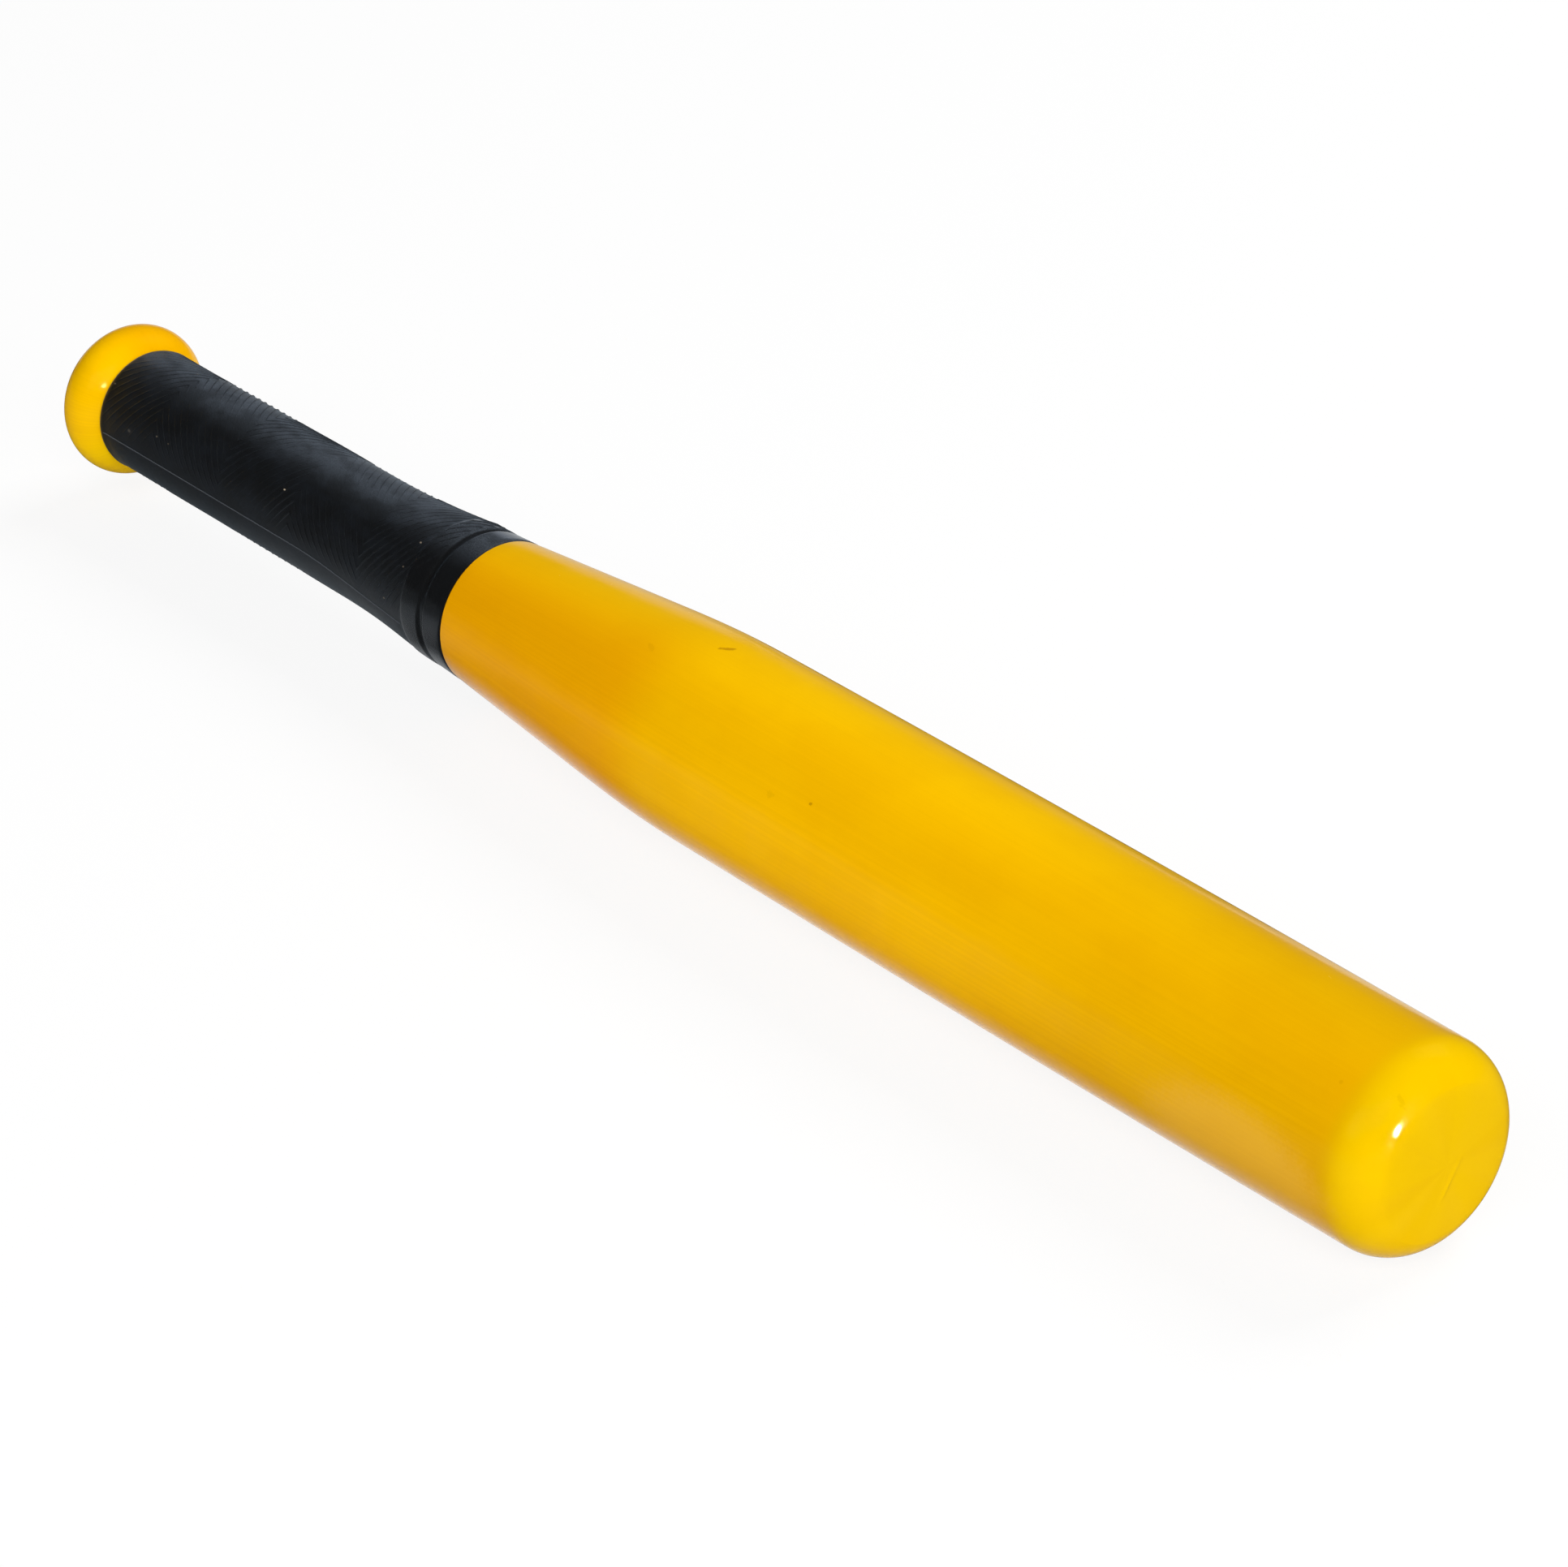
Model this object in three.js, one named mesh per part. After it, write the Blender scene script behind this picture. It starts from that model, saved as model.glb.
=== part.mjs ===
// A rounders bat: a hollow blow-moulded body with its knob in one piece, a ribbed rubber grip
// sleeve rolled on over the knob, and a push-in plug that closes the blow hole in the butt.
// The bat lies along X with its barrel end at +X. It rests on the plane z = 0.
import * as THREE from 'three';

// Driving dimensions, in millimetres. A "station" is a distance along the bat from the butt.
const LENGTH = 460;
const BARREL_RADIUS = 24;
const KNOB_RADIUS = 18.9;
const SLEEVE_RADIUS = 15.2;
const SLEEVE_WALL = 1.45;
const COLLAR_RADIUS = 17.75;
const SLEEVE_FRONT = 156.3;
const CLEARANCE = 0.3;

// The barrel swells very slightly: it is widest at one station and falls away as a parabola.
const BELLY_STATION = 333.3;
const BELLY_REACH = 120;
const BELLY_FALL = 0.45;

// The cone between sleeve and barrel, and the soft bend where it becomes the barrel.
const CONE_SLOPE = 0.085;
const BEND_START = 210.5;
const BEND_END = 238.6;

// The closed barrel end: a rounded corner, then a low crown that runs into a small flat.
const TIP_ROUNDING = 11;
const TIP_TURN = THREE.MathUtils.degToRad(64);
const TIP_CROWN = 1;
const TIP_FLAT_RADIUS = 5;

// The knob is a disc with a round rim, a little fuller at the back than at the front.
const BUTT_FLAT_RADIUS = 9.5;
const KNOB_BACK = 8.3;
const KNOB_FRONT = 8.6;

// Where the sleeve and the handle inside it flare towards the collar.
const FLARE_START = 103.8;
const FLARE_END = 146.2;
const FLARE_EASE_OUT = 128.8;
const FLARE_EASE_IN = 136.3;
const FLARE_FOOT_RADIUS = 15.3;
const FLARE_TOP_RADIUS = 17.42;

// The moulded groove behind the collar, and the sleeve's softened edges.
const GROOVE_START = 147;
const GROOVE_END = 149.4;
const GROOVE_FLANK = 0.7;
const GROOVE_DEPTH = 0.6;
const COLLAR_EDGE = 0.4;
const SLEEVE_REAR_DROP = 0.25;
const SLEEVE_REAR_EASE = 0.9;

// Wall thicknesses of the body.
const HANDLE_WALL = 2.6;
const BARREL_WALL = 4;
const TIP_WALL = 6;
const KNOB_WALL = 3.5;

// The blow hole in the butt, and the plug that snaps into it.
const RECESS_RADIUS = 8.3;
const RECESS_DEPTH = 1.5;
const BLOW_HOLE_RADIUS = 6;
const PLUG_LENGTH = 7.5;
const PLUG_WALL = 1.4;
const SNAP_RING_HEIGHT = 0.8;
const SNAP_RING_LENGTH = 1.6;

// How finely round and curved stretches are cut into flats.
const SIDES = 48;
const ARC_STEPS = 4;
const BARREL_FLATS = 3;

const HANDLE_RADIUS = SLEEVE_RADIUS - SLEEVE_WALL - CLEARANCE;
const SHOULDER = SLEEVE_FRONT + CLEARANCE;
const KNOB_RIM = KNOB_RADIUS - BUTT_FLAT_RADIUS;

const yellowPlastic = new THREE.MeshStandardMaterial({ color: 0xf2b400, roughness: 0.32, metalness: 0 });
const plugPlastic = new THREE.MeshStandardMaterial({ color: 0xeaa800, roughness: 0.4, metalness: 0 });
const blackRubber = new THREE.MeshStandardMaterial({ color: 0x1c1f24, roughness: 0.72, metalness: 0 });

// A piece turned about the bat's axis. The path is drawn with x as radius and y as station, and
// runs with the material on its left. Flats, not corners, lie on the true circle, and one faces down.
function turned(name, path, material) {
  const points = path.getPoints(ARC_STEPS);
  const corner = 1 / Math.cos(Math.PI / SIDES);
  points.forEach((point) => { point.x *= corner; });
  const geometry = new THREE.LatheGeometry(points, SIDES, Math.PI / SIDES);
  const mesh = new THREE.Mesh(geometry, material);
  mesh.name = name;
  return mesh;
}

// Radius of the barrel at a station, and how fast it changes there.
function bellyRadius(station) {
  return BARREL_RADIUS - BELLY_FALL * ((station - BELLY_STATION) / BELLY_REACH) ** 2;
}

function bellySlope(station) {
  return (-2 * BELLY_FALL * (station - BELLY_STATION)) / BELLY_REACH ** 2;
}

// Radius of the cone at a station, inset by some depth below its surface.
function coneRadius(station, inset) {
  return COLLAR_RADIUS - inset + CONE_SLOPE * (station - SHOULDER);
}

// How far along the knob's front, from its widest station, its ellipse has shrunk to a radius.
// The ellipse is enlarged by a clearance for the sleeve's end, which lies against it.
function knobFrontReach(radius, clearance) {
  const rise = (radius - BUTT_FLAT_RADIUS) / (KNOB_RIM + clearance);
  return (KNOB_FRONT + clearance) * Math.sqrt(1 - rise * rise);
}

// The sleeve's outer curve from the parallel grip up to the collar, inset by some depth.
// Forwards it climbs towards the collar, backwards it comes down to the grip.
function flare(path, inset, forwards) {
  const foot = FLARE_FOOT_RADIUS - inset;
  const top = FLARE_TOP_RADIUS - inset;
  if (forwards) {
    path.lineTo(foot, FLARE_START);
    path.bezierCurveTo(foot, FLARE_EASE_OUT, top, FLARE_EASE_IN, top, FLARE_END);
  } else {
    path.lineTo(top, FLARE_END);
    path.bezierCurveTo(top, FLARE_EASE_IN, foot, FLARE_EASE_OUT, foot, FLARE_START);
  }
}

// The hollow inside the body, drawn from the barrel's end wall back to the blow hole.
function cavityPath() {
  const path = new THREE.Path();
  const front = LENGTH - TIP_WALL;
  const rounding = TIP_ROUNDING - BARREL_WALL / 2;
  const barrel = (station) => bellyRadius(station) - BARREL_WALL;
  const start = front - rounding;
  const inset = SLEEVE_WALL + CLEARANCE + HANDLE_WALL;
  const bore = HANDLE_RADIUS - HANDLE_WALL;
  path.moveTo(0, front);
  path.lineTo(barrel(start) - rounding, front);
  path.absellipse(barrel(start) - rounding, start, rounding, rounding, Math.PI / 2, 0, true);
  path.lineTo(barrel(BELLY_STATION), BELLY_STATION);
  path.lineTo(barrel(BEND_END), BEND_END);
  path.lineTo(coneRadius(BEND_START, BARREL_WALL), BEND_START);
  path.lineTo(COLLAR_RADIUS - inset, SHOULDER);
  flare(path, inset, false);
  knobCavity(path, bore);
  return path;
}

// The hollow inside the knob, from the handle's bore round to the blow hole.
function knobCavity(path, bore) {
  const rim = KNOB_RIM - KNOB_WALL;
  const front = KNOB_FRONT - KNOB_WALL;
  const back = KNOB_BACK - KNOB_WALL;
  const meet = Math.acos((bore - BUTT_FLAT_RADIUS) / rim);
  path.lineTo(bore, KNOB_BACK + front * Math.sin(meet));
  path.absellipse(BUTT_FLAT_RADIUS, KNOB_BACK, rim, front, meet, 0, true);
  path.absellipse(BUTT_FLAT_RADIUS, KNOB_BACK, rim, back, 0, -Math.PI / 2, true);
  path.lineTo(BLOW_HOLE_RADIUS, KNOB_WALL);
  path.lineTo(BLOW_HOLE_RADIUS, RECESS_DEPTH);
  path.lineTo(RECESS_RADIUS, RECESS_DEPTH);
  path.lineTo(RECESS_RADIUS, 0);
}

// The knob's outside, from the rim of the plug's recess to the handle.
function knobOutside(path) {
  const meet = Math.acos((HANDLE_RADIUS - BUTT_FLAT_RADIUS) / KNOB_RIM);
  path.lineTo(BUTT_FLAT_RADIUS, 0);
  path.absellipse(BUTT_FLAT_RADIUS, KNOB_BACK, KNOB_RIM, KNOB_BACK, -Math.PI / 2, 0, false);
  path.absellipse(BUTT_FLAT_RADIUS, KNOB_BACK, KNOB_RIM, KNOB_FRONT, 0, meet, false);
}

// Barrel, drawn as a few long flats that follow the slight swell on either side of its widest
// station, and the closed end with its rounded corner and low crown.
function barrelOutside(path) {
  const end = LENGTH - TIP_CROWN - TIP_ROUNDING * Math.sin(TIP_TURN);
  for (const [from, to] of [[BEND_END, BELLY_STATION], [BELLY_STATION, end]]) {
    for (let i = 1; i <= BARREL_FLATS; i++) {
      const station = from + ((to - from) * i) / BARREL_FLATS;
      path.lineTo(bellyRadius(station), station);
    }
  }
  const edge = bellyRadius(end) - TIP_ROUNDING;
  path.absellipse(edge, end, TIP_ROUNDING, TIP_ROUNDING, 0, TIP_TURN, false);
  const crownEdge = edge + TIP_ROUNDING * Math.cos(TIP_TURN);
  const crownBend = crownEdge - TIP_CROWN * Math.tan(TIP_TURN);
  path.quadraticCurveTo(crownBend, LENGTH, TIP_FLAT_RADIUS, LENGTH);
  path.lineTo(0, LENGTH);
}

// Knob, handle, cone and barrel in one hollow moulding, open only at the blow hole in the butt.
function batBody() {
  const path = cavityPath();
  knobOutside(path);
  flare(path, SLEEVE_WALL + CLEARANCE, true);
  path.lineTo(COLLAR_RADIUS - SLEEVE_WALL - CLEARANCE, SHOULDER);
  path.lineTo(COLLAR_RADIUS, SHOULDER);
  path.lineTo(coneRadius(BEND_START, 0), BEND_START);
  const barrelAtBend = bellyRadius(BEND_END);
  const slopeAtBend = bellySlope(BEND_END);
  const cornerStation = SHOULDER
    + (barrelAtBend - COLLAR_RADIUS - slopeAtBend * (BEND_END - SHOULDER)) / (CONE_SLOPE - slopeAtBend);
  path.quadraticCurveTo(coneRadius(cornerStation, 0), cornerStation, barrelAtBend, BEND_END);
  barrelOutside(path);
  return turned('bat_body', path, yellowPlastic);
}

// Rubber sleeve: parallel grip, flare, groove and smooth collar. Its rear end is cut to lie
// against the front of the knob, and its front end stands level with the body's shoulder.
function gripSleeve() {
  const path = new THREE.Path();
  const bore = SLEEVE_RADIUS - SLEEVE_WALL;
  const rearRadius = SLEEVE_RADIUS - SLEEVE_REAR_DROP;
  const rearInside = KNOB_BACK + knobFrontReach(bore, CLEARANCE);
  const rearOutside = KNOB_BACK + knobFrontReach(rearRadius, CLEARANCE);
  const grooveRadius = FLARE_TOP_RADIUS - GROOVE_DEPTH;
  path.moveTo(bore, rearInside);
  path.lineTo(rearRadius, rearOutside);
  path.lineTo(SLEEVE_RADIUS, rearOutside + SLEEVE_REAR_EASE);
  flare(path, 0, true);
  path.lineTo(FLARE_TOP_RADIUS, GROOVE_START);
  path.lineTo(grooveRadius, GROOVE_START + GROOVE_FLANK);
  path.lineTo(grooveRadius, GROOVE_END - GROOVE_FLANK);
  path.lineTo(FLARE_TOP_RADIUS, GROOVE_END);
  path.lineTo(COLLAR_RADIUS, SLEEVE_FRONT - COLLAR_EDGE);
  path.lineTo(COLLAR_RADIUS - COLLAR_EDGE, SLEEVE_FRONT);
  path.lineTo(COLLAR_RADIUS - SLEEVE_WALL, SLEEVE_FRONT);
  flare(path, SLEEVE_WALL, false);
  path.lineTo(bore, rearInside);
  return turned('grip_sleeve', path, blackRubber);
}

// Cup-shaped plug: a flat head flush with the butt, and a hollow shank with a snap ring that
// catches behind the butt's wall.
function buttPlug() {
  const path = new THREE.Path();
  const headRadius = RECESS_RADIUS - CLEARANCE;
  const headThickness = RECESS_DEPTH - CLEARANCE;
  const shankRadius = BLOW_HOLE_RADIUS - CLEARANCE;
  const ringStart = KNOB_WALL + CLEARANCE;
  path.moveTo(0, 0);
  path.lineTo(headRadius, 0);
  path.lineTo(headRadius, headThickness);
  path.lineTo(shankRadius, headThickness);
  path.lineTo(shankRadius, ringStart);
  path.lineTo(shankRadius + SNAP_RING_HEIGHT, ringStart + CLEARANCE);
  path.lineTo(shankRadius, ringStart + SNAP_RING_LENGTH);
  path.lineTo(shankRadius - CLEARANCE, PLUG_LENGTH);
  path.lineTo(shankRadius - PLUG_WALL, PLUG_LENGTH);
  path.lineTo(shankRadius - PLUG_WALL, RECESS_DEPTH);
  path.lineTo(0, RECESS_DEPTH);
  return turned('butt_plug', path, plugPlastic);
}

// Turned pieces are made along Y. The assembly lays them along X at the barrel's height.
const bat = new THREE.Group();
bat.add(batBody(), gripSleeve(), buttPlug());
bat.rotation.z = -Math.PI / 2;
bat.position.set(-LENGTH / 2, 0, BARREL_RADIUS);

export default bat;
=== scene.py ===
import math

import bmesh
import bpy
import numpy as np
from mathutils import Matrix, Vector


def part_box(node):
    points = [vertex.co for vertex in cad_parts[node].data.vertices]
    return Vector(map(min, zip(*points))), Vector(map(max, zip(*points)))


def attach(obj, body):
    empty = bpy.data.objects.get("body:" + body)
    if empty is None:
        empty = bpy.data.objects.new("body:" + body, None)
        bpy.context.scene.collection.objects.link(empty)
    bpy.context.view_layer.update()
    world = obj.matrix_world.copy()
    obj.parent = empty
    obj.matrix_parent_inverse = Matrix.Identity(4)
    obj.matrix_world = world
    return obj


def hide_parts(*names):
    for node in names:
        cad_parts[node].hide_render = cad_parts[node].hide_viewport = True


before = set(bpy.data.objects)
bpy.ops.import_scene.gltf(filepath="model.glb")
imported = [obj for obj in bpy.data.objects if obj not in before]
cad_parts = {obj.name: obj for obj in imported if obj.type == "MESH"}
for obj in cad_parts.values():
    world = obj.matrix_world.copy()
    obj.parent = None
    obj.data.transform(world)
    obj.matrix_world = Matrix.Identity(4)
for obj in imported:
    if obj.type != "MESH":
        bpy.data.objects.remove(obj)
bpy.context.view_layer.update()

# A rounders bat. Lengths are in millimetres until a mesh is made. A "station" is a distance
# along the bat from the butt, and an "angle" goes round it from the top towards -Y.
MM = 0.001
TAU = 2 * math.pi
ROOT = "root"

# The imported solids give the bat's place and its main sizes.
body_low, body_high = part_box("bat_body")
sleeve_low, sleeve_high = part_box("grip_sleeve")
plug_low, plug_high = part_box("butt_plug")
BUTT_X = body_low.x
AXIS_Y = (body_low.y + body_high.y) / 2
AXIS_Z = (body_low.z + body_high.z) / 2
LENGTH = (body_high.x - body_low.x) / MM
BARREL_RADIUS = (body_high.z - body_low.z) / 2 / MM
SLEEVE_FRONT = (sleeve_high.x - BUTT_X) / MM
PLUG_LENGTH = (plug_high.x - plug_low.x) / MM
PLUG_RADIUS = (plug_high.z - plug_low.z) / 2 / MM

# Sizes of the body's outline, the same as those of its solid.
KNOB_RADIUS = 18.9
KNOB_BACK = 8.3
KNOB_FRONT = 8.6
BUTT_FLAT_RADIUS = 9.5
KNOB_RIM = KNOB_RADIUS - BUTT_FLAT_RADIUS
SLEEVE_RADIUS = 15.2
SLEEVE_WALL = 1.45
CLEARANCE = 0.3
COLLAR_RADIUS = 17.75
SHOULDER = SLEEVE_FRONT + CLEARANCE
CONE_SLOPE = 0.085
BEND_START = 210.5
BEND_END = 238.6
BELLY_STATION = 333.3
BELLY_REACH = 120
BELLY_FALL = 0.45
TIP_ROUNDING = 11
TIP_TURN = math.radians(64)
TIP_CROWN = 1
TIP_FLAT_RADIUS = 5
TIP_START = LENGTH - TIP_CROWN - TIP_ROUNDING * math.sin(TIP_TURN)
FLARE_START = 103.8
FLARE_END = 146.2
FLARE_EASE_OUT = 128.8
FLARE_EASE_IN = 136.3
FLARE_FOOT_RADIUS = 15.3
FLARE_TOP_RADIUS = 17.42
HANDLE_RADIUS = SLEEVE_RADIUS - SLEEVE_WALL - CLEARANCE
HANDLE_WALL = 2.6
BARREL_WALL = 4
TIP_WALL = 6
KNOB_WALL = 3.5
RECESS_RADIUS = 8.3
RECESS_DEPTH = 1.5
BLOW_HOLE_RADIUS = 6
PLUG_WALL = 1.4
SNAP_RING_HEIGHT = 0.8
SNAP_RING_LENGTH = 1.6

# Softened edges, and the innermost ring of the closed end.
SHOULDER_EDGE = 0.35
PLUG_EDGE = 0.25
POLE_RADIUS = 0.4


# Curves of an outline, each an array of (station, radius) rows.
def line(start, end, count=2):
    """Points spaced evenly from start to end, both included."""
    share = np.linspace(0, 1, count)[:, None]
    return np.array(start) * (1 - share) + np.array(end) * share


def arc(centre, along, across, start, end, count):
    """Part of an ellipse: station = centre + along * sin(t), radius = centre + across * cos(t),
    where t goes from start to end, and t = 0 is the outermost point."""
    turn = np.linspace(start, end, count)
    return np.stack([centre[0] + along * np.sin(turn), centre[1] + across * np.cos(turn)], 1)


def bezier(points, count):
    """A Bezier curve of any degree: the points are blended with the Bernstein weights of t."""
    share = np.linspace(0, 1, count)[:, None]
    degree = len(points) - 1
    weights = [math.comb(degree, k) * share ** k * (1 - share) ** (degree - k) for k in range(degree + 1)]
    return sum(weight * np.array(point, float) for weight, point in zip(weights, points))


def joined(*curves):
    """The curves one after another, with points that coincide kept once."""
    path = np.concatenate(curves)
    step = np.linalg.norm(np.diff(path, axis=0), axis=1)
    return path[np.r_[True, step > 1e-6]]


def smooth(value, low, high):
    """0 below low, 1 above high, and a smooth S-shaped climb between them."""
    share = np.clip((value - low) / (high - low), 0, 1)
    return share * share * (3 - 2 * share)


def between(value, rise_start, rise_end, fall_start, fall_end):
    """1 from rise_end to fall_start and 0 outside, with smooth flanks."""
    return smooth(value, rise_start, rise_end) * (1 - smooth(value, fall_start, fall_end))


def ridge(distance, half_width):
    """The Gaussian bell of a distance, 1 in its middle."""
    return np.exp(-(distance / half_width) ** 2)


# Meshes.
def skin(name, station, radius, angle, poles):
    """A closed mesh on a grid of rings. A point of ring i and column j has x = station,
    y = -radius * sin(angle), z = radius * cos(angle) from the bat's axis. The grid wraps round
    in its columns. With poles the first and last rings close on their middles, else it wraps in
    its rings as well."""
    station, radius, angle = np.broadcast_arrays(station, radius, angle)
    rings, columns = angle.shape
    x = BUTT_X + station * MM
    y = AXIS_Y - radius * np.sin(angle) * MM
    z = AXIS_Z + radius * np.cos(angle) * MM
    points = np.stack([x, y, z], 2).reshape(-1, 3)
    index = np.arange(rings * columns).reshape(rings, columns)
    here = index[:-1] if poles else index
    beyond = index[1:] if poles else np.roll(index, -1, 0)
    quads = np.stack([here, np.roll(here, -1, 1), np.roll(beyond, -1, 1), beyond], 2).reshape(-1, 4)
    loops = quads.ravel()
    sizes = np.full(len(quads), 4)
    if poles:
        first, last = len(points), len(points) + 1
        start, stop = index[0], index[-1]
        points = np.concatenate([points, [points[start].mean(0), points[stop].mean(0)]])
        fans = np.concatenate([
            np.stack([np.full(columns, first), np.roll(start, -1), start], 1),
            np.stack([np.full(columns, last), stop, np.roll(stop, -1)], 1),
        ])
        loops = np.concatenate([loops, fans.ravel()])
        sizes = np.concatenate([sizes, np.full(len(fans), 3)])
    mesh = bpy.data.meshes.new(name)
    mesh.vertices.add(len(points))
    mesh.vertices.foreach_set("co", points.astype(np.float32).ravel())
    mesh.loops.add(len(loops))
    mesh.loops.foreach_set("vertex_index", loops.astype(np.int32))
    mesh.polygons.add(len(sizes))
    mesh.polygons.foreach_set("loop_start", (np.cumsum(sizes) - sizes).astype(np.int32))
    mesh.polygons.foreach_set("use_smooth", np.ones(len(sizes), bool))
    mesh.update(calc_edges=True)
    mesh.validate()
    return mesh


def rib_values(mesh, values):
    """Stores how far each point stands on a rib, for the rubber's finish."""
    rib = mesh.attributes.new("rib", "FLOAT", "POINT")
    rib.data.foreach_set("value", np.asarray(values, np.float32))


def merged(name, parts):
    """One mesh that holds several closed meshes."""
    joint = bmesh.new()
    for part in parts:
        joint.from_mesh(part)
    mesh = bpy.data.meshes.new(name)
    joint.to_mesh(mesh)
    joint.free()
    return mesh


def placed(name, mesh, material, node):
    """Adds a finished piece, which stands for a node of the frame and takes its slot's finish."""
    mesh.materials.append(material)
    piece = bpy.data.objects.new(name, mesh)
    bpy.context.scene.collection.objects.link(piece)
    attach(piece, ROOT)
    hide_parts(node)
    return piece


# Yellow body.
def belly_radius(station):
    """Radius of the barrel: it falls away from its widest station as a parabola."""
    return BARREL_RADIUS - BELLY_FALL * ((station - BELLY_STATION) / BELLY_REACH) ** 2


def cone_radius(station, inset=0.0):
    """Radius of the straight cone, set in by some depth."""
    return COLLAR_RADIUS - inset + CONE_SLOPE * (station - SHOULDER)


def flare(inset, count=24):
    """The sleeve's climb from the parallel grip to the collar, set in by some depth."""
    foot, top = FLARE_FOOT_RADIUS - inset, FLARE_TOP_RADIUS - inset
    points = [(FLARE_START, foot), (FLARE_EASE_OUT, foot), (FLARE_EASE_IN, top), (FLARE_END, top)]
    return bezier(points, count)


def bend():
    """The soft bend between cone and barrel: a parabola tangent to both."""
    slope = -2 * BELLY_FALL * (BEND_END - BELLY_STATION) / BELLY_REACH ** 2
    end = belly_radius(BEND_END)
    corner = SHOULDER + (end - COLLAR_RADIUS - slope * (BEND_END - SHOULDER)) / (CONE_SLOPE - slope)
    return bezier([(BEND_START, cone_radius(BEND_START)), (corner, cone_radius(corner)), (BEND_END, end)], 16)


def barrel_end():
    """The rounded corner, the low crown and the small flat of the closed end."""
    edge = belly_radius(TIP_START) - TIP_ROUNDING
    crown_edge = edge + TIP_ROUNDING * math.cos(TIP_TURN)
    crown_bend = crown_edge - TIP_CROWN * math.tan(TIP_TURN)
    corner = arc((TIP_START, edge), TIP_ROUNDING, TIP_ROUNDING, 0, TIP_TURN, 24)
    crown = bezier([(corner[-1, 0], crown_edge), (LENGTH, crown_bend), (LENGTH, TIP_FLAT_RADIUS)], 24)
    return joined(corner, crown, line((LENGTH, TIP_FLAT_RADIUS), (LENGTH, POLE_RADIUS), 10))


def barrel_outline():
    """The barrel's long swell, from the bend to where the end's corner starts."""
    station = np.linspace(BEND_END, TIP_START, 70)
    return np.stack([station, belly_radius(station)], 1)


def cavity_outline():
    """The hollow inside, from the end wall back to the plug's recess in the butt."""
    front, rounding = LENGTH - TIP_WALL, TIP_ROUNDING - BARREL_WALL / 2
    start = front - rounding
    edge = belly_radius(start) - BARREL_WALL - rounding
    inset = SLEEVE_WALL + CLEARANCE + HANDLE_WALL
    bore = HANDLE_RADIUS - HANDLE_WALL
    rim, fore, back = KNOB_RIM - KNOB_WALL, KNOB_FRONT - KNOB_WALL, KNOB_BACK - KNOB_WALL
    meet = math.acos((bore - BUTT_FLAT_RADIUS) / rim)
    centre = (KNOB_BACK, BUTT_FLAT_RADIUS)
    barrel_bend = (BEND_END, belly_radius(BEND_END) - BARREL_WALL)
    cone_bend = (BEND_START, cone_radius(BEND_START, BARREL_WALL))
    return joined(
        line((front, 0.5), (front, edge), 3),
        arc((start, edge), rounding, rounding, math.pi / 2, 0, 7),
        line(barrel_bend, cone_bend),
        line((SHOULDER, COLLAR_RADIUS - inset), (SHOULDER - 1, COLLAR_RADIUS - inset)),
        flare(inset, 8)[::-1],
        arc(centre, fore, rim, meet, 0, 6),
        arc(centre, back, rim, 0, -math.pi / 2, 8),
        line((KNOB_WALL, BLOW_HOLE_RADIUS), (RECESS_DEPTH, BLOW_HOLE_RADIUS)),
        line((RECESS_DEPTH, RECESS_RADIUS), (CLEARANCE, RECESS_RADIUS)),
    )


def knob_outline():
    """The outside of the knob, from the softened rim of the plug's recess to the handle."""
    meet = math.acos((HANDLE_RADIUS - BUTT_FLAT_RADIUS) / KNOB_RIM)
    centre = (KNOB_BACK, BUTT_FLAT_RADIUS)
    recess_rim = (CLEARANCE, RECESS_RADIUS + CLEARANCE)
    return joined(
        arc(recess_rim, CLEARANCE, CLEARANCE, -math.pi, -math.pi / 2, 5),
        arc(centre, KNOB_BACK, KNOB_RIM, -math.pi / 2, 0, 28),
        arc(centre, KNOB_FRONT, KNOB_RIM, 0, meet, 22),
    )


def shoulder_outline():
    """The step up from the handle to the cone, with its edge softened, and the straight cone."""
    edge = SHOULDER_EDGE
    return joined(
        flare(SLEEVE_WALL + CLEARANCE),
        line((SHOULDER, COLLAR_RADIUS - SLEEVE_WALL - CLEARANCE), (SHOULDER, COLLAR_RADIUS - edge)),
        arc((SHOULDER + edge, COLLAR_RADIUS - edge), edge, edge, -math.pi / 2, 0, 5),
        line((SHOULDER + 4, cone_radius(SHOULDER + 4)), (BEND_START, cone_radius(BEND_START)), 16),
    )


# The mould's two halves meet in a plane through the axis. They leave a trace of a line along
# either side. Where they pinched the plastic off, a ridge runs across part of the closed end, a
# little beside that plane. Its top and bottom are measured down from the axis.
SEAM_ANGLE = math.radians(-32)
SEAM_CROWDING = 0.25
SEAM_HEIGHT = 0.035
SEAM_HALF_WIDTH = 0.3
PINCH_HEIGHT = 0.3
PINCH_HALF_WIDTH = 0.4
PINCH_OFFSET = 2.7
PINCH_TOP = -3.5
PINCH_BOTTOM = 8
PINCH_FADE = 3
FACE_DEPTH = TIP_CROWN + 0.3


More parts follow.
